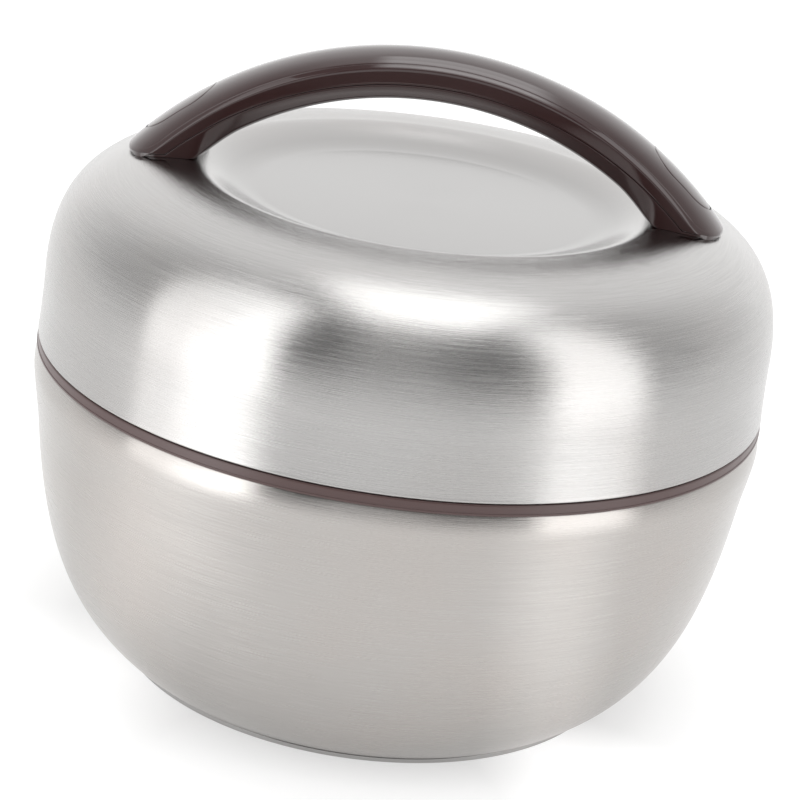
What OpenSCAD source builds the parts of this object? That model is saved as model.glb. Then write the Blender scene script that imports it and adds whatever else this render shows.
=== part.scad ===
// Insulated steel food bowl with a lift-off bayonet lid and an arched handle.
// Origin at the centre of the base's underside, +Z up, +X along the handle.
// Lengths in millimetres. The lid is shown seated, its lugs in the entry gaps.

/* [Bowl] */
// Radius of the plastic band that shows between bowl and lid
rim_r = 87.3; // [86.5:0.1:89]
// Height of the line where bowl and lid meet
seam_z = 77; // [75:0.5:83]
// Height of the exposed band
band_h = 2.4; // [2:0.1:3]
// Height of the dark gap between band and lid edge
seam_gap = 0.65; // [0.5:0.05:1]
// Radius of the base plate
base_r = 61.3; // [59:0.1:63]
// Height of the base step
base_h = 1.5; // [1.3:0.1:1.9]
// Thickness of the outer steel skins
skin_t = 0.8; // [0.6:0.1:0.9]
// Thickness of the food liner
liner_t = 0.6; // [0.5:0.1:0.6]
// Height of the liner's floor
floor_z = 9.6; // [8:0.2:12]

/* [Lid] */
// Height of the lid's crown above the joint line
crown_h = 43.8; // [42:0.2:46]
// Radius of the crown circle
crown_r = 54.2; // [52:0.2:56]
// Depth of the dish in the middle of the lid
dish_h = 4.2; // [3:0.2:6]
// Length of the straight lower part of the lid's side
side_h = 14.4; // [12:0.2:17]

/* [Bayonet] */
// Half width of a lug on the bowl, in degrees
neck_lug_a = 28; // [20:0.5:28]
// Half width of a lug on the lid, in degrees
lid_lug_a = 26; // [18:0.5:26]
// Angle of the lid's lugs when the lid can be lifted off
open_a = 64.2; // [62:0.1:64.2]

/* [Handle] */
// Half length of the handle
tip_x = 70.6; // [69:0.2:71.4]
// Half width at the middle of the handle
mid_w = 8.2; // [7.6:0.1:9]
// Half width where the noses start
end_w = 11.6; // [10.8:0.1:12]
// Radius of the handle's top line
arc_r = 93.8; // [92.8:0.2:94.6]
// Radius of the crowned cross-section
crown_sec = 15; // [14:0.5:18]
// Depth of the handle from its top line to its underside
grip_h = 12.4; // [11.4:0.2:13]
// Distance of the screws from the middle
screw_x = 57.5; // [57:0.1:58]

/* [Hidden] */
$fn = 96;

band_top = seam_z - seam_gap / 2;
band_low = band_top - band_h;
edge_z = seam_z + seam_gap / 2;
lid_r = rim_r - 0.1;
neck_r = rim_r - 6.3;
bore_r = rim_r - 8.6;
liner_r = bore_r - 0.1 - liner_t;
neck_top = seam_z + 7;
rim_top = neck_top + liner_t;
liner_level = floor_z + 20.6;
foot_in = base_r - 6.3;
crown_z = seam_z + crown_h;
arc_z = seam_z - 18;
part_r = 87.9;
part_z = seam_z - 19.5;
heel_x = 52.6;
seat_z = crown_z + 3.2;
boss_low = crown_z + 1.4;
steel = [0.72, 0.72, 0.71];
brown = [0.16, 0.1, 0.1];
foam = [0.86, 0.8, 0.62];

// points of a cubic curve
function bz(a, b, c, d, n) = [for (i = [0:n]) let (t = i / n, s = 1 - t)
    s*s*s*a + 3*s*s*t*b + 3*s*t*t*c + t*t*t*d];
// right-hand normal of a line
function nrm(p, q) = let (v = q - p) [v[1], -v[0]] / norm(v);
// line moved sideways by t, to the right of its direction
function off(p, t) = let (m = len(p) - 1) [for (i = [0:m])
    let (a = nrm(p[max(i - 1, 0)], p[max(i, 1)]),
         b = nrm(p[min(i, m - 1)], p[min(i + 1, m)]), u = (a + b) / norm(a + b))
    p[i] + u * t / (u * a)];
function rev(p) = [for (i = [len(p) - 1:-1:0]) p[i]];
function tail(p, k) = [for (i = [k:len(p) - 1]) p[i]];

// outside of the bowl, from the band down to the base
bowl_line = bz([rim_r, band_low], [rim_r - 2.7, band_low - 33.2],
               [base_r + 20.7, base_h + 14.3], [base_r + 1.3, base_h], 28);
// inside of the food liner, from its rim to the middle of its floor
liner_low = bz([liner_r, seam_z - 8], [liner_r - 1.4, seam_z - 41], [liner_r - 4.4, floor_z + 1],
               [36, floor_z], 22);
liner_line = concat([[liner_r, rim_top]], liner_low, [[0, floor_z]]);
// outside of the lid, from its edge over the crown to the middle of the dish
lid_side = bz([lid_r, edge_z], [lid_r - 0.35, edge_z + 5],
              [lid_r - 0.55, seam_z + side_h - 4], [lid_r - 0.55, seam_z + side_h], 6);
lid_shoulder = bz([lid_r - 0.55, seam_z + side_h], [lid_r - 0.55, seam_z + side_h + 18.7],
                  [crown_r + 25, crown_z], [crown_r, crown_z], 24);
lid_dish = bz([crown_r, crown_z], [crown_r - 3.8, crown_z],
              [crown_r - 8, crown_z - dish_h], [crown_r - 14.7, crown_z - dish_h], 16);
lid_line = concat(lid_side, tail(lid_shoulder, 1), tail(lid_dish, 1), [[0, crown_z - dish_h]]);
// inside of the lid's cap, from the seal groove to the middle of its dome
dome_line = concat(bz([rim_r - 11.1, seam_z + 11], [rim_r - 11.1, seam_z + 16],
                      [rim_r - 16, seam_z + 22.5], [50, seam_z + 23.5], 14),
                   [[0, seam_z + 23.5]]);

// ---------- bowl ----------

module bowl_outer_shell() color(steel)
    rotate_extrude() polygon(concat(
        [[bore_r + 4.3, band_low]], bowl_line,
        [[foot_in, base_h], [foot_in, base_h + skin_t]],
        rev(tail(off(bowl_line, skin_t), 1)),
        [[rim_r - skin_t - 0.1, band_low - skin_t], [bore_r + 4.3, band_low - skin_t]]));

module bowl_base_plate() color(steel)
    rotate_extrude() polygon([[0, base_h], [foot_in - 3.5, base_h], [foot_in + 1, 0.3],
        [foot_in + 2, 0], [base_r - 0.4, 0], [base_r, 0.4], [base_r, base_h],
        [foot_in - 0.1, base_h], [foot_in - 0.1, base_h + skin_t], [0, base_h + skin_t]]);

module bowl_insulation() color(foam)
    rotate_extrude() intersection() {
        difference() {
            polygon(concat([[0, band_low]], off(bowl_line, skin_t + 0.1), [[0, base_h]]));
            polygon(concat([[0, rim_top]], off(liner_line, -liner_t - 0.1)));
        }
        translate([0, base_h + skin_t + 0.1]) square([rim_r, seam_z - 10.5 - base_h - skin_t - 0.1]);
    }

// cut through the food liner, from its flange to the middle of its floor
module liner_cut() polygon(concat(
        [[neck_r - 0.3, rim_top]], liner_line, [[0, floor_z - liner_t]],
        tail(rev(tail(off(liner_line, -liner_t), 1)), 1),
        [[liner_r + liner_t, neck_top], [neck_r - 0.3, neck_top]]));

// steep part of the liner, above the level line
module bowl_liner_wall() color(steel)
    rotate_extrude() intersection() {
        liner_cut();
        translate([0, liner_level]) square([rim_r, seam_z]);
    }

// rounded bottom of the liner, below the level line
module bowl_liner_bottom() color(steel)
    rotate_extrude() intersection() {
        liner_cut();
        square([rim_r, liner_level]);
    }

module bowl_rim_collar() color(brown) {
    rotate_extrude() polygon([[bore_r, seam_z - 10], [bore_r + 4.1, seam_z - 10],
        [bore_r + 4.1, band_low], [rim_r, band_low], [rim_r, band_top - 0.3],
        [rim_r - 0.3, band_top], [neck_r, band_top], [neck_r, neck_top], [bore_r, neck_top]]);
    for (a = [0:120:240]) {
        rotate([0, 0, a - neck_lug_a]) rotate_extrude(angle = 2 * neck_lug_a)
            translate([neck_r - 0.2, seam_z + 4]) square([2.6, 2.4]);
        rotate([0, 0, a - neck_lug_a - 1.4]) rotate_extrude(angle = 3)
            translate([neck_r - 0.5, band_top - 0.4]) square([2.7, seam_z + 5.2 - band_top + 0.4]);
    }
}

// ---------- seal ----------

module lid_seal() color([0.75, 0.74, 0.7])
    rotate_extrude() polygon([[rim_r - 9, rim_top + 1], [rim_r - 7.9, rim_top + 0.3],
        [rim_r - 6.6, rim_top + 0.3], [rim_r - 5.5, rim_top + 1],
        [rim_r - 5.5, seam_z + 10.6], [rim_r - 9, seam_z + 10.6]]);

// ---------- lid ----------

// everything inside the lid's outer surface moved out by t
module lid_solid(t)
    rotate_extrude() polygon(concat([[0, seam_z]], [[lid_r + t, seam_z]], off(lid_line, t)));

module lid_outer_shell() color(steel)
    difference() {
        rotate_extrude() polygon(concat(lid_line,
            tail(rev(tail(off(lid_line, -skin_t), 1)), 0),
            [[lid_r - skin_t - 0.07, edge_z + 0.65], [lid_r - 1.5, edge_z + 0.65], [lid_r - 1.5, edge_z]]));
        for (s = [-1, 1]) translate([s * screw_x, 0, crown_z - 8]) cylinder(h = 12, d = 4.4);
    }

module lid_inner_cap() color(brown) {
    rotate_extrude() {
        translate([rim_r - 3.3, edge_z + 0.75]) square([1.75, seam_z + 13 - edge_z - 0.75]);
        difference() {
            translate([rim_r - 11.1, seam_z + 8.3]) square([9.55, 4.7]);
            translate([rim_r - 9.3, seam_z]) square([4.1, 10.9]);
        }
        polygon(concat(dome_line, rev(off(dome_line, 1.8))));
    }
    for (a = [0:120:240]) rotate([0, 0, a + open_a - lid_lug_a])
        rotate_extrude(angle = 2 * lid_lug_a)
            translate([neck_r + 0.6, edge_z + 0.75]) square([2.6, 2.4]);
}

module lid_insulation() color(foam)
    difference() {
        rotate_extrude() difference() {
            polygon(concat([[0, seam_z + 13.1], [lid_r - 1.8, seam_z + 13.1]],
                [for (p = off(lid_line, -skin_t - 0.1)) if (p[1] > seam_z + 13.6) p]));
            polygon(concat([[0, seam_z]], [[rim_r - 9, seam_z]], off(dome_line, 1.9)));
        }
        for (s = [-1, 1]) translate([s * screw_x - 10.2, -8.2, crown_z - 8.5]) cube([20.4, 16.4, 9]);
    }

// ---------- handle ----------

// round bar about the handle's axis: radius r, middle height z
module drum(r, z) translate([0, 30, z]) rotate([90, 0, 0]) cylinder(h = 60, r = r, $fn = 192);

// outline of the handle seen from above, drawn in by d
module plan(d) translate([0, 0, seam_z + 20]) linear_extrude(70) intersection() {
    translate([-80, -16]) square([160, 32]);
    difference() {
        translate([-80, -16]) square([160, 32]);
        for (s = [-1, 1]) translate([0, s * (mid_w - d + waist_r)]) circle(r = waist_r, $fn = 256);
    }
    union() {
        for (s = [-1, 1]) translate([s * (tip_x - 15.5), 0]) circle(r = 15.5 - d);
        translate([-tip_x + 15.5, -16]) square([2 * tip_x - 31, 32]);
    }
}
waist_r = (65 * 65 + pow(end_w - mid_w, 2)) / 2 / (end_w - mid_w);

// crowned ring that the top of the handle is cut from
module crown_ring() translate([0, 0, arc_z]) rotate([90, 0, 0]) rotate_extrude($fn = 192)
    difference() {
        translate([arc_r - crown_sec, 0]) circle(r = crown_sec);
        translate([arc_r - 2 * crown_sec - 1, -20]) square([2 * crown_sec - 10.5, 40]);
    }

// rounded ring that the underside of the grip is cut from
module grip_ring() translate([0, 0, arc_z]) rotate([90, 0, 0]) rotate_extrude($fn = 192)
    difference() {
        translate([arc_r - grip_h + 11, 0]) circle(r = 11);
        translate([arc_r - grip_h + 9, -20]) square([40, 40]);
    }

// oval of a screw cover, grown by d
module oval(s, d) translate([s * (screw_x + 1.8), 0, crown_z - 4]) linear_extrude(24) {
    for (k = [-2.1, 2.1]) translate([k, 0]) circle(r = 5.4 + d);
    translate([-2.1, -5.4 - d]) square([4.2, 10.8 + 2 * d]);
}

module handle_upper() color(brown) difference() {
    union() {
        difference() {
            intersection() { crown_ring(); plan(0); }
            drum(part_r, part_z);
            intersection() {
                drum(arc_r - 3.6, arc_z);
                translate([-44, -mid_w + 2.6, seam_z]) cube([88, 2 * mid_w - 5.2, 80]);
            }
        }
        for (s = [-1, 1]) intersection() {
            translate([s * screw_x, 0, boss_low]) cylinder(h = 20, d = 11);
            drum(arc_r - 3, arc_z);
        }
    }
    lid_solid(0.75);
    for (s = [-1, 1]) {
        difference() { oval(s, 0.2); drum(arc_r - 2.5, arc_z); }
        translate([s * screw_x, 0, seat_z]) cylinder(h = 20, d = 7.8);
        translate([s * screw_x, 0, boss_low - 1]) cylinder(h = 20, d = 4.4);
    }
}

module handle_lower() color(brown) difference() {
    intersection() {
        plan(0.15);
        union() {
            difference() {
                intersection() { grip_ring(); drum(part_r - 0.05, part_z); }
                for (s = [-1, 1]) translate([s * 80 - 27.4, -20, seam_z]) cube([54.8, 40, 80]);
            }
            for (s = [-1, 1]) intersection() {
                drum(part_r - 0.05, part_z);
                translate([s * (heel_x + 13), 0, crown_z + 5]) cube([26, 40, 30], center = true);
            }
            for (s = [-1, 1]) intersection() {
                lid_solid(0.7);
                translate([s * (heel_x + 13), 0, crown_z]) cube([26, 40, 16], center = true);
            }
        }
    }
    lid_solid(0.05);
    for (s = [-1, 1]) {
        translate([s * screw_x, 0, boss_low - 0.1]) cylinder(h = 20, d = 11.3);
        translate([s * screw_x, 0, crown_z - 4]) cylinder(h = 20, d = 4.4);
    }
}

module handle_cover(s) color(brown) difference() {
    intersection() { crown_ring(); oval(s, 0); }
    drum(arc_r - 2.4, arc_z);
}

module handle_cover_left() handle_cover(-1);
module handle_cover_right() handle_cover(1);

module handle_screws() color(steel)
    for (s = [-1, 1]) translate([s * screw_x, 0, seat_z]) difference() {
        union() {
            cylinder(h = 2.2, d = 7);
            translate([0, 0, -10]) cylinder(h = 10.1, d = 4);
        }
        for (a = [0, 90]) rotate([0, 0, a]) translate([-1.9, -0.45, 1]) cube([3.8, 0.9, 2]);
    }

module handle_backing_plates() color(steel) difference() {
    intersection() {
        for (s = [-1, 1]) translate([s * screw_x - 10, -8, crown_z - 5]) cube([20, 16, 8]);
        rotate_extrude() polygon(concat([[0, seam_z]], [[lid_r - 2, seam_z]],
            off(lid_line, -skin_t - 0.05)));
    }
    for (s = [-1, 1]) translate([s * screw_x, 0, crown_z - 8]) cylinder(h = 12, d = 4.05);
}

bowl_outer_shell();
bowl_base_plate();
bowl_insulation();
bowl_liner_wall();
bowl_liner_bottom();
bowl_rim_collar();
lid_seal();
lid_outer_shell();
lid_inner_cap();
lid_insulation();
handle_upper();
handle_lower();
handle_cover_left();
handle_cover_right();
handle_screws();
handle_backing_plates();
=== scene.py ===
import bpy, bmesh, math
from mathutils import Matrix, Vector


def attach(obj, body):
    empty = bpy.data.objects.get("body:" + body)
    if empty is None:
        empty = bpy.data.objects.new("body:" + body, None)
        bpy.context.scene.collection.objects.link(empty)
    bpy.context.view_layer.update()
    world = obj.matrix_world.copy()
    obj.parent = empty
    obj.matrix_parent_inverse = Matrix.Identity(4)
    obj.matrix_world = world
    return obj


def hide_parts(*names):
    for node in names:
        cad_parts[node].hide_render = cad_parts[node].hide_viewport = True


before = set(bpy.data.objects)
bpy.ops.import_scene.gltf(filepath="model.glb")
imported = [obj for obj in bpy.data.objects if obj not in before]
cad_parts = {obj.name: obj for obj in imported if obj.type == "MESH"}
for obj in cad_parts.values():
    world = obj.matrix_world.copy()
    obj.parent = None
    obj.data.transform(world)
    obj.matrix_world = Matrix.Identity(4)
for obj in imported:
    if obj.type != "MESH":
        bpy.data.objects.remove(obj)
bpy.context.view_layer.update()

scene = bpy.context.scene
scene.view_settings.view_transform = "Standard"
scene.view_settings.look = "None"
MM = 0.001

# ------------------------------------------------------------------ lines

def bz(a, b, c, d, n):
    out = []
    for i in range(n + 1):
        t = i / n
        s = 1 - t
        out.append(tuple(s**3 * a[k] + 3 * s * s * t * b[k] + 3 * s * t * t * c[k] + t**3 * d[k] for k in (0, 1)))
    return out


def off(p, t):
    m = len(p) - 1

    def nrm(i):
        (x0, y0), (x1, y1) = p[i], p[i + 1]
        l = math.hypot(x1 - x0, y1 - y0)
        return (y1 - y0) / l, -(x1 - x0) / l

    out = []
    for i in range(m + 1):
        a, b = nrm(max(i - 1, 0)), nrm(min(i, m - 1))
        u = (a[0] + b[0], a[1] + b[1])
        l = math.hypot(*u)
        u = (u[0] / l, u[1] / l)
        k = t / (u[0] * a[0] + u[1] * a[1])
        out.append((p[i][0] + u[0] * k, p[i][1] + u[1] * k))
    return out


def arc(cx, cy, r, a0, a1, n):
    return [(cx + r * math.cos(math.radians(a0 + (a1 - a0) * i / n)), cy + r * math.sin(math.radians(a0 + (a1 - a0) * i / n))) for i in range(n + 1)]


RIM, SEAM, GAP, BAND = 87.3, 77.0, 0.65, 2.4
BAND_TOP = SEAM - GAP / 2
BAND_LOW = BAND_TOP - BAND
EDGE = SEAM + GAP / 2 - 0.3
LID = RIM - 0.1
BASE_R, BASE_H, SKIN = 61.3, 1.5, 0.8
NECK, BORE, LINER_T = RIM - 6.3, RIM - 8.6, 0.6
LINER = BORE - 0.1 - LINER_T
NECK_TOP = SEAM + 7
RIM_TOP = NECK_TOP + LINER_T
CROWN_Z, CROWN_R, DISH, SIDE = SEAM + 43.8, 54.2, 4.2, 14.4
FLOOR = 9.6



def roll(p):
    """The bowl's skin swells a little below the band and turns in at its top edge."""
    r, z = p
    k = min(max((z - BAND_LOW + 19) / 15, 0), 1)
    return r + 0.7 * k * k * (3 - 2 * k) - 0.45 * max(z - (BAND_LOW - 6), 0) ** 2 / 12, z


bowl_line = [roll(p) for p in bz((RIM, BAND_LOW), (RIM - 2.7, BAND_LOW - 33.2), (BASE_R + 20.6, BASE_H + 14.3), (BASE_R + 0.5, BASE_H), 220)]
TOP_R = bowl_line[0][0]
lid_line = (
    bz((LID, EDGE), (LID - 0.35, EDGE + 5), (LID - 0.55, SEAM + SIDE - 4), (LID - 0.55, SEAM + SIDE), 24)
    + bz((LID - 0.55, SEAM + SIDE), (LID - 0.55, SEAM + SIDE + 18.5), (CROWN_R + 25.4, CROWN_Z), (CROWN_R + 2.3, CROWN_Z), 110)[1:]
    + [(CROWN_R + 1.2, CROWN_Z)]
    + bz((CROWN_R, CROWN_Z), (CROWN_R - 3.8, CROWN_Z), (CROWN_R - 8, CROWN_Z - DISH), (CROWN_R - 14.7, CROWN_Z - DISH), 72)
)
lid_line += [(r, CROWN_Z - DISH) for r in (34, 28, 22, 17, 12, 8, 4, 1.5)] + [(0, CROWN_Z - DISH)]
liner_line = [(LINER, RIM_TOP - 0.3), (LINER, SEAM + 2)] + bz((LINER, SEAM - 8), (LINER - 1.4, SEAM - 41), (LINER - 4.4, FLOOR + 1), (36, FLOOR), 90) + [(r, FLOOR) for r in (30, 22, 14, 7, 2)] + [(0, FLOOR)]


def lid_z(r):
    """Height of the lid's outer surface at radius r, over the crown and dish."""
    best = None
    for (r0, z0), (r1, z1) in zip(lid_line, lid_line[1:]):
        if (r1 <= r <= r0 or r0 <= r <= r1) and abs(r1 - r0) > 1e-9:
            z = z0 + (z1 - z0) * (r - r0) / (r1 - r0)
            best = z if best is None else max(best, z)
    return SEAM if best is None else best


LID_Z = [lid_z(i * 0.25) for i in range(0, 352)]


def lidz(r):
    i = min(int(r * 4), 350)
    k = r * 4 - i
    return LID_Z[i] * (1 - k) + LID_Z[i + 1] * k


# ------------------------------------------------------------------ meshes

def add(name, verts, faces, body, mat, replaces=(), sharp=32, uvs=None):
    me = bpy.data.meshes.new(name)
    me.from_pydata([(x * MM, y * MM, z * MM) for x, y, z in verts], [], faces)
    if uvs is not None:
        layer = me.uv_layers.new(name="UVMap")
        for poly in me.polygons:
            for li, vi in zip(poly.loop_indices, poly.vertices):
                layer.data[li].uv = uvs[vi]
    me.validate()
    bm = bmesh.new()
    bm.from_mesh(me)
    bmesh.ops.recalc_face_normals(bm, faces=bm.faces)
    bm.to_mesh(me)
    bm.free()
    me.shade_smooth()
    if sharp:
        me.set_sharp_from_angle(angle=math.radians(sharp))
    ob = bpy.data.objects.new(name, me)
    scene.collection.objects.link(ob)
    me.materials.append(mat)
    if body:
        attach(ob, body)
        if replaces:
            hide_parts(*replaces)
    return ob


def ring(profile, seg, a0=0.0, a1=360.0):
    """Solid of revolution of a closed outline [(r, z)], as verts, faces, uvs. Part turns are capped."""
    full = abs(a1 - a0) >= 359.999
    n = seg if full else seg + 1
    verts, faces, uvs, idx = [], [], [], []
    s, lens = 0.0, []
    for i, p in enumerate(profile):
        if i:
            s += math.dist(profile[i - 1], p)
        lens.append(s)
    for i, (r, z) in enumerate(profile):
        row = []
        for j in range(n):
            if r < 1e-9 and j:
                row.append(row[0])
                continue
            a = math.radians(a0 + (a1 - a0) * j / seg)
            row.append(len(verts))
            verts.append((r * math.cos(a), r * math.sin(a), z))
            uvs.append((j / seg, lens[i] * 0.01))
        idx.append(row)
    m = len(profile)
    for i in range(m):
        k = (i + 1) % m
        for j in range(seg):
            jj = (j + 1) % n if full else j + 1
            q = [idx[i][j], idx[i][jj], idx[k][jj], idx[k][j]]
            f = [q[0]]
            for v in q[1:]:
                if v != f[-1] and v != f[0]:
                    f.append(v)
            if len(f) > 2:
                faces.append(f)
    if not full:
        faces.append([idx[i][0] for i in range(m)][::-1])
        faces.append([idx[i][n - 1] for i in range(m)])
    return verts, faces, uvs


def join(parts):
    verts, faces, uvs = [], [], []
    for v, f, u in parts:
        k = len(verts)
        verts += v
        uvs += u
        faces += [[i + k for i in q] for q in f]
    return verts, faces, uvs


def rounded(points, radius, n=5):
    """Closed outline with each corner (r, z[, own radius]) rounded."""
    out = []
    m = len(points)
    for i in range(m):
        p0, p1, p2 = points[i - 1], points[i], points[(i + 1) % m]
        rad = p1[2] if len(p1) > 2 else radius
        a = Vector((p0[0] - p1[0], p0[1] - p1[1]))
        b = Vector((p2[0] - p1[0], p2[1] - p1[1]))
        la, lb = a.length, b.length
        a.normalize()
        b.normalize()
        ang = math.acos(max(-1, min(1, a.dot(b))))
        if rad <= 0 or ang > math.radians(176):
            out.append((p1[0], p1[1]))
            continue
        t = min(rad / math.tan(ang / 2), 0.45 * la, 0.45 * lb)
        rr = t * math.tan(ang / 2)
        mid = (a + b).normalized()
        c = Vector((p1[0], p1[1])) + mid * (rr / math.sin(ang / 2))
        s = Vector((p1[0], p1[1])) + a * t - c
        e = Vector((p1[0], p1[1])) + b * t - c
        a0 = math.atan2(s.y, s.x)
        d = math.atan2(e.y, e.x) - a0
        while d > math.pi:
            d -= 2 * math.pi
        while d < -math.pi:
            d += 2 * math.pi
        for k in range(n + 1):
            t2 = a0 + d * k / n
            out.append((c.x + rr * math.cos(t2), c.y + rr * math.sin(t2)))
    return out


# ------------------------------------------------------------------ materials

def new_mat(name):
    m = bpy.data.materials.new(name)
    m.use_nodes = True
    m.node_tree.nodes.clear()
    return m, m.node_tree


class Tree:
    def __init__(self, tree):
        self.t = tree

    def node(self, kind, **kw):
        n = self.t.nodes.new(kind)
        for k, v in kw.items():
            setattr(n, k, v)
        return n

    def put(self, sock, v):
        if isinstance(v, bpy.types.NodeSocket):
            self.t.links.new(v, sock)
        else:
            sock.default_value = v

    def math(self, op, a, b=None, c=None, clamp=False):
        n = self.node("ShaderNodeMath", operation=op, use_clamp=clamp)
        for i, v in enumerate((a, b, c)):
            if v is not None:
                self.put(n.inputs[i], v)
        return n.outputs[0]

    def noise(self, vec, scale, detail=2.0, rough=0.5, dist=0.0):
        n = self.node("ShaderNodeTexNoise")
        self.put(n.inputs["Vector"], vec)
        self.put(n.inputs["Scale"], scale)
        self.put(n.inputs["Detail"], detail)
        self.put(n.inputs["Roughness"], rough)
        self.put(n.inputs["Distortion"], dist)
        return n.outputs["Fac"]

    def map(self, v, a, b, c, d, clamp=True):
        n = self.node("ShaderNodeMapRange", clamp=clamp)
        for i, x in enumerate((v, a, b, c, d)):
            self.put(n.inputs[i], x)
        return n.outputs[0]

    def mix(self, f, a, b):
        n = self.node("ShaderNodeMix", data_type="RGBA")
        self.put(n.inputs[0], f)
        self.put(n.inputs[6], a)
        self.put(n.inputs[7], b)
        return n.outputs[2]


def steel(name, base, rough, aniso, lines, tint=0.5, dish=False):
    """Brushed steel. The brush lines run round the Z axis."""
    m, tree = new_mat(name)
    t = Tree(tree)
    co = t.node("ShaderNodeTexCoord")
    sep = t.node("ShaderNodeSeparateXYZ")
    t.put(sep.inputs[0], co.outputs["Object"])
    x, y, z = sep.outputs
    r = t.math("MAXIMUM", t.math("SQRT", t.math("ADD", t.math("MULTIPLY", x, x), t.math("MULTIPLY", y, y))), 0.002)
    uv = t.node("ShaderNodeSeparateXYZ")
    t.put(uv.inputs[0], co.outputs["UV"])
    v = uv.outputs[1]

    def lane(turns, fine):
        c = t.node("ShaderNodeCombineXYZ")
        t.put(c.inputs[0], t.math("MULTIPLY", t.math("DIVIDE", x, r), turns))
        t.put(c.inputs[1], t.math("MULTIPLY", t.math("DIVIDE", y, r), turns))
        t.put(c.inputs[2], t.math("MULTIPLY", v, fine))
        return c.outputs[0]

    # the sunk middle of the lid is finished smooth, so the lines fade out there
    fade = t.map(r, 0.046, 0.056, 0.12, 1.0) if dish else 1.0
    fine = t.noise(lane(6.0, 620.0), 1.0, 2.0, 0.6)
    long = t.noise(lane(4.0, 300.0), 1.0, 2.0, 0.6)
    scratch = t.noise(lane(12.0, 430.0), 1.0, 1.0, 0.5)
    cloud = t.noise(co.outputs["Object"], 26.0, 3.0, 0.55)
    both = t.math("ADD", t.math("MULTIPLY", fine, 0.65), t.math("MULTIPLY", long, 0.35))
    line = t.math("ADD", t.math("MULTIPLY", t.math("SUBTRACT", both, 0.5), fade), 0.5)
    dark = tuple(c * (1 - 0.10 * lines) for c in base) + (1,)
    lite = tuple(min(c * (1 + 0.05 * lines), 1) for c in base) + (1,)
    col = t.mix(t.map(line, 0.36, 0.64, 0, 1), dark, lite)
    warm = (base[0] * 1.0, base[1] * 0.965, base[2] * 0.95, 1)
    col = t.mix(t.math("MULTIPLY", t.map(cloud, 0.45, 0.7, 0, 1), tint), col, warm)
    # painted shade: the sunk middle of the lid is darkened to 80% of the steel's colour
    if dish:
        col = t.mix(t.map(r, 0.046, 0.054, 0, 1), tuple(c * 0.80 for c in base) + (1,), col)
    ro = t.math("ADD", t.map(line, 0.3, 0.7, rough - 0.06 * lines, rough + 0.07 * lines), t.map(cloud, 0.3, 0.7, -0.012, 0.018))
    if dish:
        ro = t.math("MULTIPLY", ro, t.map(r, 0.062, 0.080, 0.72, 1.0))
    bump = t.node("ShaderNodeBump")
    t.put(bump.inputs["Strength"], t.math("MULTIPLY", fade, 0.24 * lines) if dish else 0.24 * lines)
    t.put(bump.inputs["Distance"], 0.0002)
    t.put(bump.inputs["Height"], t.math("ADD", t.math("MULTIPLY", fine, 0.7), t.math("MULTIPLY", t.map(scratch, 0.62, 0.8, 0, -1), 0.12)))
    tan = t.node("ShaderNodeTangent", direction_type="RADIAL", axis="Z")
    b = t.node("ShaderNodeBsdfPrincipled")
    b.inputs["Metallic"].default_value = 1.0
    t.put(b.inputs["Base Color"], col)
    t.put(b.inputs["Roughness"], ro)
    if dish:
        t.put(b.inputs["Anisotropic"], t.map(r, 0.046, 0.056, 0.3, aniso))
    else:
        b.inputs["Anisotropic"].default_value = aniso
    b.inputs["Anisotropic Rotation"].default_value = 0.25
    t.put(b.inputs["Tangent"], tan.outputs[0])
    t.put(b.inputs["Normal"], bump.outputs[0])
    out = t.node("ShaderNodeOutputMaterial")
    t.put(out.inputs[0], b.outputs[0])
    return m


def plastic(name, base, rough, coat=0.0, peel=0.02, shine=0.5):
    m, tree = new_mat(name)
    t = Tree(tree)
    co = t.node("ShaderNodeTexCoord")
    cloud = t.noise(co.outputs["Object"], 60.0, 3.0, 0.55)
    grain = t.noise(co.outputs["Object"], 900.0, 2.0, 0.5)
    wear = t.noise(co.outputs["Object"], 210.0, 4.0, 0.7)
    a = tuple(c * 0.92 for c in base) + (1,)
    c = tuple(min(c * 1.08, 1) for c in base) + (1,)
    col = t.mix(cloud, a, c)
    ro = t.math("ADD", t.map(cloud, 0.3, 0.7, rough - 0.02, rough + 0.03), t.map(wear, 0.55, 0.8, 0.0, 0.05))
    bump = t.node("ShaderNodeBump")
    t.put(bump.inputs["Strength"], peel)
    t.put(bump.inputs["Distance"], 0.0003)
    t.put(bump.inputs["Height"], grain)
    b = t.node("ShaderNodeBsdfPrincipled")
    t.put(b.inputs["Base Color"], col)
    t.put(b.inputs["Roughness"], ro)
    t.put(b.inputs["Normal"], bump.outputs[0])
    b.inputs["Specular IOR Level"].default_value = shine
    if coat:
        lw = t.node("ShaderNodeLayerWeight")
        lw.inputs["Blend"].default_value = 0.5
        t.put(b.inputs["Coat Weight"], t.map(lw.outputs["Facing"], 0.15, 0.45, 0.62 * coat, coat))
        b.inputs["Coat Roughness"].default_value = 0.05
        b.inputs["Coat IOR"].default_value = 1.75
    out = t.node("ShaderNodeOutputMaterial")
    t.put(out.inputs[0], b.outputs[0])
    return m


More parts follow.
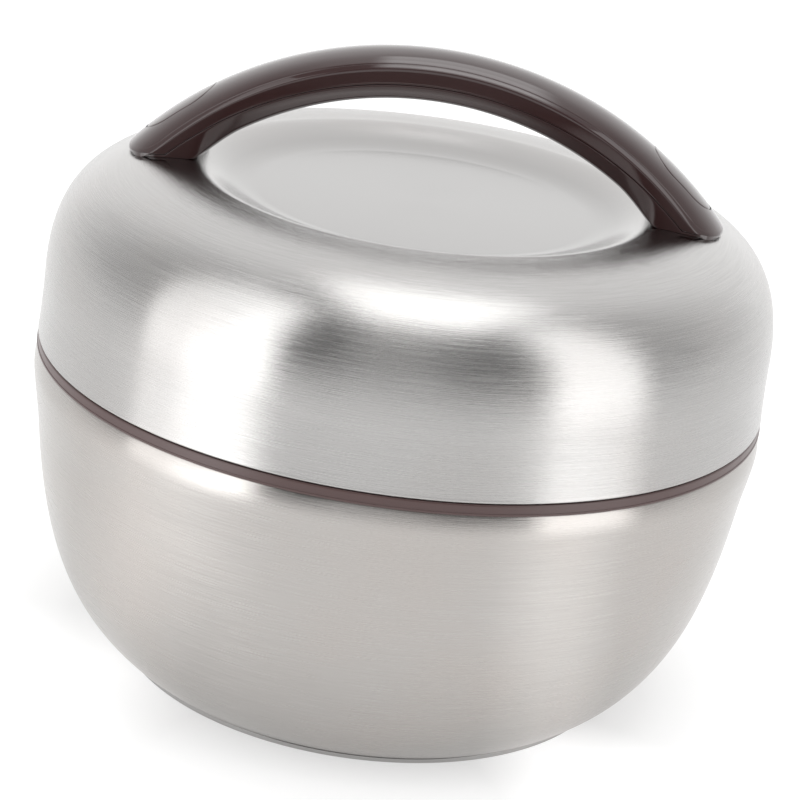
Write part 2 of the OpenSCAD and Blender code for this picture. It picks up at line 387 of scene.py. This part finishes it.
M_LID = steel("lid_brushed_steel", (0.446, 0.438, 0.431), 0.25, 0.9, 1.0, 0.35, True)
M_BOWL = steel("bowl_brushed_steel", (0.436, 0.418, 0.402), 0.245, 0.87, 0.75, 0.6)
M_BASE = steel("base_steel", (0.43, 0.422, 0.415), 0.34, 0.6, 0.6)
M_LINER = steel("liner_steel", (0.55, 0.545, 0.54), 0.27, 0.6, 0.6)
M_GLOSS = plastic("brown_gloss_plastic", (0.025, 0.0066, 0.0064), 0.30, 1.0, 0.02, 0.15)
M_BROWN = plastic("brown_plastic", (0.070, 0.038, 0.036), 0.30)
M_SEAL = plastic("silicone", (0.58, 0.56, 0.52), 0.5, 0.0, 0.05)
M_FOAM = plastic("foam", (0.72, 0.62, 0.40), 0.9, 0.0, 0.4)
M_PLATED = plastic("plated", (0.6, 0.6, 0.6), 0.25)
M_PLATED.node_tree.nodes["Principled BSDF"].inputs["Metallic"].default_value = 1.0

# ------------------------------------------------------------------ steel shells

SEG = 320
inner = off(lid_line[4:], -SKIN)
lid_profile = (
    arc(LID - 0.42, EDGE + 0.42, 0.42, -90, 0, 6)
    + [p for p in lid_line if p[1] > EDGE + 0.5 or p[0] < 60]
    + [(0, CROWN_Z - DISH - SKIN)]
    + inner[::-1][1::3]
    + [(LID - SKIN - 0.07, EDGE + 0.65), (LID - 1.5, EDGE + 0.65), (LID - 1.5, EDGE)]
)
v, f, u = ring(lid_profile, SEG)
lid_shell = add("lid_shell", v, f, "lid", M_LID, ("lid_outer_shell",), 40, u)

bowl_in = off(bowl_line, SKIN)
bowl_profile = (
    [(BORE + 4.3, BAND_LOW)]
    + [(TOP_R - 0.35, BAND_LOW), (TOP_R - 0.12, BAND_LOW - 0.05), (TOP_R - 0.02, BAND_LOW - 0.16)]
    + [p for p in bowl_line if BASE_H + 0.05 < p[1] < BAND_LOW - 0.3]
    + [(BASE_R + 0.38, BASE_H - 0.02), (BASE_R + 0.2, BASE_H), (BASE_R - 6.3, BASE_H), (BASE_R - 6.3, BASE_H + SKIN)]
    + [p for p in bowl_in[::-3] if p[1] < BAND_LOW - SKIN - 0.5]
    + [(RIM - SKIN - 0.1, BAND_LOW - SKIN), (BORE + 4.3, BAND_LOW - SKIN)]
)
v, f, u = ring(bowl_profile, SEG)
bowl_shell = add("bowl_shell", v, f, "bowl", M_BOWL, ("bowl_outer_shell",), 40, u)

FI = BASE_R - 6.3
base_profile = rounded(
    [(0, BASE_H, 0), (FI - 3.5, BASE_H, 1.5), (FI + 1, 0.1, 1.0), (FI + 2, 0, 1.0), (BASE_R, 0, 0.3), (BASE_R + 0.12, BASE_H - 0.32, 0.1), (BASE_R - 0.7, BASE_H - 0.3, 0), (BASE_R - 0.7, BASE_H - 0.03, 0),
     (FI - 0.1, BASE_H - 0.03, 0), (FI - 0.1, BASE_H + SKIN, 0), (0, BASE_H + SKIN, 0)], 0)
v, f, u = ring(base_profile, 256)
add("base_plate", v, f, "bowl", M_BASE, ("bowl_base_plate",), 40, u)

liner_out = off(liner_line, -LINER_T)
liner_profile = (
    arc(NECK - 0.6, NECK_TOP + 0.3, 0.3, 90, -90, 6)[::-1]
    + [(LINER + 0.35, RIM_TOP), (LINER + 0.1, RIM_TOP - 0.08)]
    + liner_line
    + [(0, FLOOR - LINER_T)]
    + liner_out[::-1][1:-1]
    + [(LINER + LINER_T, NECK_TOP)]
)
v, f, u = ring(liner_profile, 256)
add("food_liner", v, f, "bowl", M_LINER, ("bowl_liner_wall", "bowl_liner_bottom"), 40, u)

# ------------------------------------------------------------------ collar, cap, seal

collar = [ring(rounded(
    [(BORE, SEAM - 10), (BORE + 4.1, SEAM - 10), (BORE + 4.1, BAND_LOW, 0), (RIM, BAND_LOW, 0.12), (RIM, BAND_LOW + 0.5, 0.1), (RIM - 0.16, BAND_LOW + 0.5, 0.05), (RIM - 0.16, BAND_TOP + 0.15, 0.45),
     (NECK, BAND_TOP + 0.15, 0.4), (NECK, NECK_TOP, 0.3), (BORE, NECK_TOP, 0)], 0.3), 256)]
for a in (0, 120, 240):
    lug = rounded([(NECK - 0.4, SEAM + 4, 0), (NECK + 2.4, SEAM + 4), (NECK + 2.4, SEAM + 6.4), (NECK - 0.4, SEAM + 6.4, 0)], 0.4, 4)
    collar.append(ring(lug, 40, a - 28, a + 28))
    rib = rounded([(NECK - 0.4, BAND_TOP - 0.3, 0), (NECK + 2.2, BAND_TOP - 0.3, 0), (NECK + 2.2, SEAM + 5.2), (NECK - 0.4, SEAM + 5.2, 0)], 0.3, 3)
    collar.append(ring(rib, 4, a - 29.4, a - 26.4))
v, f, u = join(collar)
add("rim_collar", v, f, "bowl", M_BROWN, ("bowl_rim_collar",), 35, u)

dome = bz((RIM - 11.1, SEAM + 11), (RIM - 11.1, SEAM + 16), (RIM - 16, SEAM + 22.5), (50, SEAM + 23.5), 40) + [(30, SEAM + 23.5), (12, SEAM + 23.5), (0, SEAM + 23.5)]
dome_out = off(dome, 1.8)
cap_profile = (
    [(RIM - 1.55, EDGE + 0.75), (RIM - 1.55, SEAM + 13), (RIM - 9.2, SEAM + 13)]
    + [p for p in dome_out if p[1] > SEAM + 13.3]
    + dome[::-1]
    + rounded([(RIM - 11.1, SEAM + 8.3, 0.5), (RIM - 9.3, SEAM + 8.3, 0.5), (RIM - 9.3, SEAM + 10.9, 0), (RIM - 5.2, SEAM + 10.9, 0),
               (RIM - 5.2, SEAM + 8.3, 0.5), (RIM - 3.3, SEAM + 8.3, 0.4), (RIM - 3.3, EDGE + 0.75, 0.3)], 0.3, 4)
)
cap = [ring(cap_profile, 256)]
for a in (0, 120, 240):
    lug = rounded([(NECK + 0.6, EDGE + 0.75), (NECK + 3.3, EDGE + 0.75, 0), (NECK + 3.3, EDGE + 3.15, 0), (NECK + 0.6, EDGE + 3.15)], 0.4, 4)
    cap.append(ring(lug, 40, a + 64.2 - 26, a + 64.2 + 26))
v, f, u = join(cap)
add("lid_cap", v, f, "lid", M_BROWN, ("lid_inner_cap",), 35, u)

seal_profile = rounded(
    [(RIM - 9, RIM_TOP + 1, 0.4), (RIM - 7.9, RIM_TOP + 0.3, 0.5), (RIM - 6.6, RIM_TOP + 0.3, 0.5), (RIM - 5.5, RIM_TOP + 1, 0.4),
     (RIM - 5.5, SEAM + 10.6, 0.4), (RIM - 9, SEAM + 10.6, 0.4)], 0.4, 5)
v, f, u = ring(seal_profile, 256)
add("seal_ring", v, f, "seal", M_SEAL, ("lid_seal",), 45, u)

# ------------------------------------------------------------------ handle

ARC_Z, ARC_R, SEC = SEAM - 18, 93.8, 11.4
PART_R, PART_Z = 87.9, SEAM - 19.5
LOW_R = ARC_R - 12.4
TIP, MID_W, END_W = 70.6, 8.2, 11.6
WAIST = (65 * 65 + (END_W - MID_W) ** 2) / 2 / (END_W - MID_W)
SCREW_X = 57.5


def smin(a, b, k):
    h = max(k - abs(a - b), 0) / k
    return min(a, b) - h * h * k * 0.25


def inside(x, y):
    """Distance of a point inside the handle's outline, seen from above."""
    w = MID_W + WAIST - math.sqrt(WAIST * WAIST - x * x) - abs(y)
    e = 15.5 - math.hypot(max(abs(x) - (TIP - 15.5), 0), y)
    return smin(w, e, 3.0)


def half(x, d):
    """Half width of the outline drawn in by d at x."""
    lo, hi = 0.0, 16.0
    if inside(x, 0) <= d:
        return 0.0
    for _ in range(40):
        mid = (lo + hi) / 2
        if inside(x, mid) > d:
            lo = mid
        else:
            hi = mid
    return lo


def tip(d):
    lo, hi = 60.0, 75.0
    for _ in range(40):
        mid = (lo + hi) / 2
        if inside(mid, 0) > d:
            lo = mid
        else:
            hi = mid
    return lo


def crown(x, y):
    k = SEC * (1 + (WAIST - math.sqrt(WAIST * WAIST - x * x)) / MID_W)
    drop = k - math.sqrt(k * k - y * y)
    return ARC_Z + math.sqrt((ARC_R - drop) ** 2 - x * x)


def parting(x):
    return PART_Z + math.sqrt(PART_R**2 - x * x)


def stations(t):
    """Places along the handle, closer together towards the noses."""
    k = t - 14.0
    a = [-k + 2 * k * i / 90 for i in range(91)]
    e = [k + 14.0 * math.sin(math.radians(90 * i / 26)) for i in range(1, 27)]
    e[-1] = t - 0.003
    return [-x for x in e[::-1]] + a + e


def across(h):
    """Places across the top, close together at the edges."""
    k = min(1.0, h / 3)
    d = [1.4, 1.2, 1.07, 1.02, 0.97, 0.92, 0.88, 0.8, 0.66, 0.5, 0.36, 0.25, 0.19, 0.13, 0.08, 0.04, 0.015, 0.0]
    s = [(h - 1.4 * k) * i / 9 for i in range(9)] + [h - q * k for q in d]
    return [-y for y in s[:0:-1]] + s


def edge_drop(d):
    """The top's edge: a fine groove, a narrow bevel, then a small round."""
    z = 0.07 * max(0.0, 1 - abs(d - 0.97) / 0.07)
    if d < 0.9:
        z += 0.14 * (0.9 - max(d, 0.19))
    if d < 0.19:
        z += 0.19 - math.sqrt(max(0.0361 - (0.19 - d) ** 2, 0.0))
    return z


def loft(rows):
    """Closed body from rows of (x, [loop of (y, z)])."""
    verts, faces, uvs = [], [], []
    n = len(rows[0][1])
    for x, loop in rows:
        for y, z in loop:
            verts.append((x, y, z))
            uvs.append((x * 0.01, y * 0.01))
    for i in range(len(rows) - 1):
        for j in range(n):
            k = (j + 1) % n
            faces.append([i * n + j, i * n + k, (i + 1) * n + k, (i + 1) * n + j])
    faces.append(list(range(n))[::-1])
    faces.append([(len(rows) - 1) * n + j for j in range(n)])
    return verts, faces, uvs


def lean(x, h):
    """How far the sides draw in from the top edge to the parting line."""
    k = min(max((abs(x) - 44) / 16.0, 0), 1)
    return min(0.45 * (1 - k * k * (3 - 2 * k)), 0.1 * h)


def upper_row(x):
    h = half(x, 0.0)
    top = []
    for y in across(h):
        d = max(inside(x, y), 0.0)
        top.append((y, crown(x, y) - edge_drop(d)))
    def low(y):
        return max(parting(x), lidz(math.hypot(x, y)) + 0.75)
    wall = []
    zt, zb = top[-1][1], low(h)
    zt = max(zt, zb + 0.25)
    for s in (0.15, 0.4, 0.7, 0.9):
        wall.append(zt + (zb + 0.22 - zt) * s)
    zs = wall + [zb + 0.22]
    edge = [(0.03, 0.10), (0.10, 0.03), (0.22, 0.0)]
    w = lean(x, h)
    right = [(h - w * (zt - z) / (zt - zb), z) for z in zs] + [(max(h - w - dy, 0), zb + dz) for dy, dz in edge]
    bottom = [(y, low(y)) for y in (0.8 * h, 0.4 * h, 0, -0.4 * h, -0.8 * h)]
    left = [(-y, z) for y, z in right[::-1]]
    return x, top + right + bottom + left


def lower_row(x, d0):
    ax = abs(x)
    d = d0 + 0.25 * min(max((ax - 60) / 5, 0), 1)
    h = half(x, d)
    h -= lean(x, h)
    def top(y):
        return max(parting(x) - 0.05, lidz(math.hypot(x, y)) + 0.7)
    zc0 = ARC_Z + math.sqrt(LOW_R**2 - x * x)
    zt = top(h)
    k = min(max((ax - 44) / 11.0, 0), 1)
    k = k * k * (3 - 2 * k)
    deep = max(zt - 0.28 - zc0 - 1.0 * (1 - k), 0.4)
    c = min(1.0, 0.25 * deep)
    run = max(min(0.58 * (deep - c), h - 3.4), 0.1 * h) * (1 - k) + min(0.3, 0.2 * h) * k
    q = min(1.0, (h - run) / 2.5)
    line = []
    for i in range(1, 13):
        t = i / 12
        bow = 0.07 * math.sin(math.pi * t) * (1 - k)
        line.append((h - run * t + 0.8 * bow, (deep - c) * t + 0.6 * bow))
    p0, p1, p2 = (h - run, deep - c), (h - run - 0.7 * q, deep - 0.28 * c), (h - run - 1.9 * q, deep)
    for i in range(1, 8):
        t = i / 7
        line.append(tuple(p0[j] * (1 - t) ** 2 + 2 * p1[j] * t * (1 - t) + p2[j] * t * t for j in (0, 1)))
    line += [(p2[0] * (1 - i / 4), deep) for i in range(1, 5)]
    line += [(-y, z) for y, z in line[-2::-1]]
    tops = [(y * h, top(y * h)) for y in (-0.9, -0.45, 0, 0.45, 0.9)]
    right = [(max(h - 0.28, 0), zt), (max(h - 0.1, 0), zt - 0.05), (max(h - 0.02, 0), zt - 0.15), (h, zt - 0.28)]
    bottom = [(y, min(max(zt - 0.28 - z, lidz(math.hypot(x, y)) + 0.05), zt - 0.3)) for y, z in line]
    left = [(-y, z) for y, z in right[::-1]]
    return x, tops + right + bottom + left


t0 = tip(0.0)
v, f, u = loft([upper_row(x) for x in stations(t0)])
upper = add("handle_top", v, f, "lid", M_GLOSS, ("handle_upper",), 0, u)
t1 = tip(0.4)
v, f, u = loft([lower_row(x, 0.15) for x in stations(t1)])
lower = add("handle_bottom", v, f, "lid", M_GLOSS, ("handle_lower",), 40, u)


def oval(s, d, n=72):
    """Outline of a screw cover grown by d."""
    pts = []
    for i in range(n):
        a = 2 * math.pi * i / n
        c, q = math.cos(a), math.sin(a)
        pts.append((s * (SCREW_X + 1.8) + (2.1 if c > 0 else -2.1) * (1 if abs(c) > 1e-9 else 0) + (5.4 + d) * c, (5.4 + d) * q))
    return pts


def cover_mesh(s):
    cx = s * (SCREW_X + 1.8)
    out = oval(s, 0.0)
    n = len(out)
    verts, uvs = [], []
    rings = [1.0, 0.985, 0.965, 0.93, 0.85, 0.7, 0.5, 0.3, 0.12]
    drum = lambda x: ARC_Z + math.sqrt((ARC_R - 2.4) ** 2 - x * x)
    for x, y in out:
        verts.append((x, y, drum(x)))
    for i, k in enumerate(rings):
        for x, y in out:
            px, py = cx + (x - cx) * k, y * k
            verts.append((px, py, crown(px, py) - (0.16, 0.05, 0.01)[i] if i < 3 else crown(px, py)))
    verts.append((cx, 0, crown(cx, 0)))
    verts.append((cx, 0, drum(cx)))
    faces = []
    for i in range(len(rings)):
        for j in range(n):
            k = (j + 1) % n
            faces.append([i * n + j, i * n + k, (i + 1) * n + k, (i + 1) * n + j])
    last = len(rings) * n
    c0, c1 = len(verts) - 2, len(verts) - 1
    for j in range(n):
        k = (j + 1) % n
        faces.append([last + j, last + k, c0])
        faces.append([k, j, c1])
    return verts, faces, [(p[0] * 0.01, p[1] * 0.01) for p in verts]


def recess(s):
    cx = s * (SCREW_X + 1.8)
    out = oval(s, 0.22)
    n = len(out)
    drum = lambda x: ARC_Z + math.sqrt((ARC_R - 2.5) ** 2 - x * x)
    verts = [(x, y, drum(x)) for x, y in out] + [(x, y, 160.0) for x, y in out] + [(cx, 0, drum(cx)), (cx, 0, 160.0)]
    faces = []
    for j in range(n):
        k = (j + 1) % n
        faces += [[j, k, n + k, n + j], [k, j, 2 * n], [n + j, n + k, 2 * n + 1]]
    return verts, faces, [(0, 0)] * len(verts)


for s, side in ((-1, "left"), (1, "right")):
    v, f, u = cover_mesh(s)
    add("cover_" + side, v, f, "lid", M_GLOSS, ("handle_cover_" + side,), 50, u)
    v, f, u = recess(s)
    cut = add("cut_" + side, v, f, None, M_GLOSS, (), 0, u)
    mod = upper.modifiers.new("recess_" + side, "BOOLEAN")
    mod.operation, mod.solver, mod.object = "DIFFERENCE", "EXACT", cut
    bpy.context.view_layer.update()
    dg = bpy.context.evaluated_depsgraph_get()
    me = bpy.data.meshes.new_from_object(upper.evaluated_get(dg))
    upper.modifiers.clear()
    upper.data = me
    bpy.data.objects.remove(cut)
upper.data.shade_smooth()
upper.data.set_sharp_from_angle(angle=math.radians(38))

# ------------------------------------------------------------------ hidden pieces

for n, m in (("bowl_insulation", M_FOAM), ("lid_insulation", M_FOAM), ("handle_screws", M_PLATED), ("handle_backing_plates", M_PLATED)):
    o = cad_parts[n]
    o.data.materials.clear()
    o.data.materials.append(m)

# ------------------------------------------------------------------ stage

def floor():
    me = bpy.data.meshes.new("floor")
    s = 6.0
    me.from_pydata([(-s, -s, -0.0002), (s, -s, -0.0002), (s, s, -0.0002), (-s, s, -0.0002)], [], [(0, 1, 2, 3)])
    o = bpy.data.objects.new("floor", me)
    scene.collection.objects.link(o)
    m, tree = new_mat("floor_paper")
    t = Tree(tree)
    b = t.node("ShaderNodeBsdfPrincipled")
    b.inputs["Base Color"].default_value = (0.5, 0.5, 0.5, 1)
    b.inputs["Emission Color"].default_value = (1, 1, 1, 1)
    # painted light: the paper glows though it is no lamp, a little more beside the two tall lights than in front,
    # with a painted pool farther out at the front left and painted shadow round the bowl's foot
    co = t.node("ShaderNodeTexCoord")
    sep = t.node("ShaderNodeSeparateXYZ")
    t.put(sep.inputs[0], co.outputs["Object"])
    a = t.math("MULTIPLY", t.math("ARCTAN2", sep.outputs[0], t.math("MULTIPLY", sep.outputs[1], -1.0)), 180 / math.pi)
    d = t.math("SQRT", t.math("ADD", t.math("MULTIPLY", sep.outputs[0], sep.outputs[0]), t.math("MULTIPLY", sep.outputs[1], sep.outputs[1])))
    painted_glow = t.map(t.math("ABSOLUTE", a), 40.0, 110.0, 0.52, 0.47)
    for mid, wide, amount in ((-60.0, 26.0, 0.19), (49.0, 19.0, 0.24)):
        painted_glow = t.math("ADD", painted_glow, t.map(t.math("ABSOLUTE", t.math("SUBTRACT", a, mid)), 4.0, wide, amount, 0.0))
    # painted pool of light on the floor, from 17 cm out, towards the front left
    far_painted_pool = t.math("MULTIPLY", t.map(d, 0.17, 0.32, 0.0, 0.8), t.map(t.math("ABSOLUTE", t.math("ADD", a, 47.0)), 4.0, 15.0, 1.0, 0.0))
    # painted shadow: the glow is dimmed to 80% near the bowl's foot and is back to full 12 cm out; the whole glow is
    # then scaled by 1.25
    t.put(b.inputs["Emission Strength"], t.math("MULTIPLY", t.math("ADD", t.math("MULTIPLY", painted_glow, t.map(d, 0.06, 0.12, 0.8, 1.0)), far_painted_pool), 1.25))
    b.inputs["Roughness"].default_value = 0.9
    b.inputs["Specular IOR Level"].default_value = 0.1
    out = t.node("ShaderNodeOutputMaterial")
    t.put(out.inputs[0], b.outputs[0])
    me.materials.append(m)


floor()
world = bpy.data.worlds.new("studio")
scene.world = world
world.use_nodes = True
wt = world.node_tree
wt.nodes.clear()
t = Tree(wt)
co = t.node("ShaderNodeTexCoord")
sep = t.node("ShaderNodeSeparateXYZ")
t.put(sep.inputs[0], co.outputs["Generated"])
# azimuth in degrees, 0 towards -Y and growing towards +X, and height above the horizon
az = t.math("MULTIPLY", t.math("ARCTAN2", sep.outputs[0], t.math("MULTIPLY", sep.outputs[1], -1.0)), 180 / math.pi)
el = t.math("MULTIPLY", t.math("ARCSINE", sep.outputs[2]), 180 / math.pi)
aaz = t.math("ABSOLUTE", az)


def step(v, at, soft):
    n = t.node("ShaderNodeMapRange", interpolation_type="SMOOTHSTEP", clamp=True)
    for i, k in enumerate((v, at - soft, at + soft, 0.0, 1.0)):
        t.put(n.inputs[i], k)
    return n.outputs[0]


def window(v, a, sa, b, sb):
    return t.math("MULTIPLY", step(v, a, sa), t.math("SUBTRACT", 1.0, step(v, b, sb)))


def blend(f, a, b):
    return t.math("ADD", t.math("MULTIPLY", a, t.math("SUBTRACT", 1.0, f)), t.math("MULTIPLY", f, b))


level = t.map(aaz, 100.0, 145.0, 0.55, 1.05)
front = blend(step(az, -15.0, 3.0), 0.14, 0.40)
front = blend(step(az, -3.0, 4.0), front, 0.37)
front = blend(step(az, 15.0, 6.0), front, 0.20)
level = blend(window(az, -34.0, 4.0, 48.0, 4.0), level, front)
level = blend(step(el, 62.0, 8.0), level, 0.9)
shade = t.math("MULTIPLY", window(az, -92.0, 10.0, -22.0, 8.0), window(el, 50.0, 6.0, 80.0, 4.0))
level = blend(shade, level, 0.3)
# a long soft light overhead, graded from front to back: u and v are its place over the lid
high = t.math("MAXIMUM", sep.outputs[2], 0.25)
u = t.math("DIVIDE", sep.outputs[0], high)
v = t.math("DIVIDE", sep.outputs[1], high)
lamp = 0.0
for v0, v1, soft, bright in ((-0.56, -0.335, 0.05, 0.9), (-0.335, -0.235, 0.02, 3.1), (-0.235, -0.06, 0.02, 1.0), (-0.06, 0.17, 0.04, 1.9), (0.17, 0.40, 0.05, 1.35)):
    lamp = t.math("ADD", lamp, t.math("MULTIPLY", window(v, v0, soft, v1, soft), bright))
inside = t.math("MULTIPLY", window(u, -0.235, 0.05, 0.345, 0.08), step(sep.outputs[2], 0.5, 0.05))
level = t.math("ADD", level, t.math("MULTIPLY", lamp, inside))
bg = t.node("ShaderNodeBackground")
comb = t.node("ShaderNodeCombineXYZ")
for i in range(3):
    t.put(comb.inputs[i], level)
t.put(bg.inputs[0], comb.outputs[0])
bg.inputs[1].default_value = 1.25
wo = t.node("ShaderNodeOutputWorld")
t.put(wo.inputs[0], bg.outputs[0])



def soft_box(name, x, y, z, w, h, aim, level):
    """Flat light of w by h metres at (x, y, z), turned to aim; level is its brightness."""
    l = bpy.data.lights.new(name, "AREA")
    l.shape, l.size, l.size_y = "RECTANGLE", w, h
    l.energy = 1.25 * level * math.pi * w * h
    o = bpy.data.objects.new(name, l)
    back = (Vector((x, y, z)) - Vector(aim)).normalized()
    side = Vector((0, 0, 1)).cross(back)
    side = side.normalized() if side.length > 1e-4 else Vector((1, 0, 0))
    o.matrix_world = Matrix.Translation((x, y, z)) @ Matrix((side, back.cross(side), back)).transposed().to_4x4()
    o.visible_camera = False
    scene.collection.objects.link(o)


soft_box("left_a", -0.2568, -0.3198, 0.34, 0.0975, 0.68, (-0.04, -0.075, 0.34), 1.62)
soft_box("left_b", -0.315, -0.2535, 0.35, 0.080, 0.70, (-0.04, -0.075, 0.35), 1.15)
soft_box("left_c", -0.352, -0.1705, 0.35, 0.103, 0.70, (-0.04, -0.075, 0.35), 0.97)
soft_box("right_panel", 0.345, -0.215, 0.35, 0.205, 0.70, (0.04, -0.075, 0.35), 1.24)

cam = bpy.data.cameras.new("camera")
cam.sensor_width = 36.0
cam.sensor_fit = "HORIZONTAL"
cam.lens = 2484.04 / 800 * 36
cam.clip_start, cam.clip_end = 0.01, 50
co = bpy.data.objects.new("camera", cam)
right, up, fwd = Vector((0.988193, 0.086574, 0.126427)), Vector((-0.14877, 0.34468, 0.92686)), Vector((-0.036664, 0.934721, -0.353495))
rot = Matrix((right, up, -fwd)).transposed().to_4x4()
co.matrix_world = Matrix.Translation((0.02309, -0.56443, 0.27919)) @ rot
scene.collection.objects.link(co)
scene.camera = co
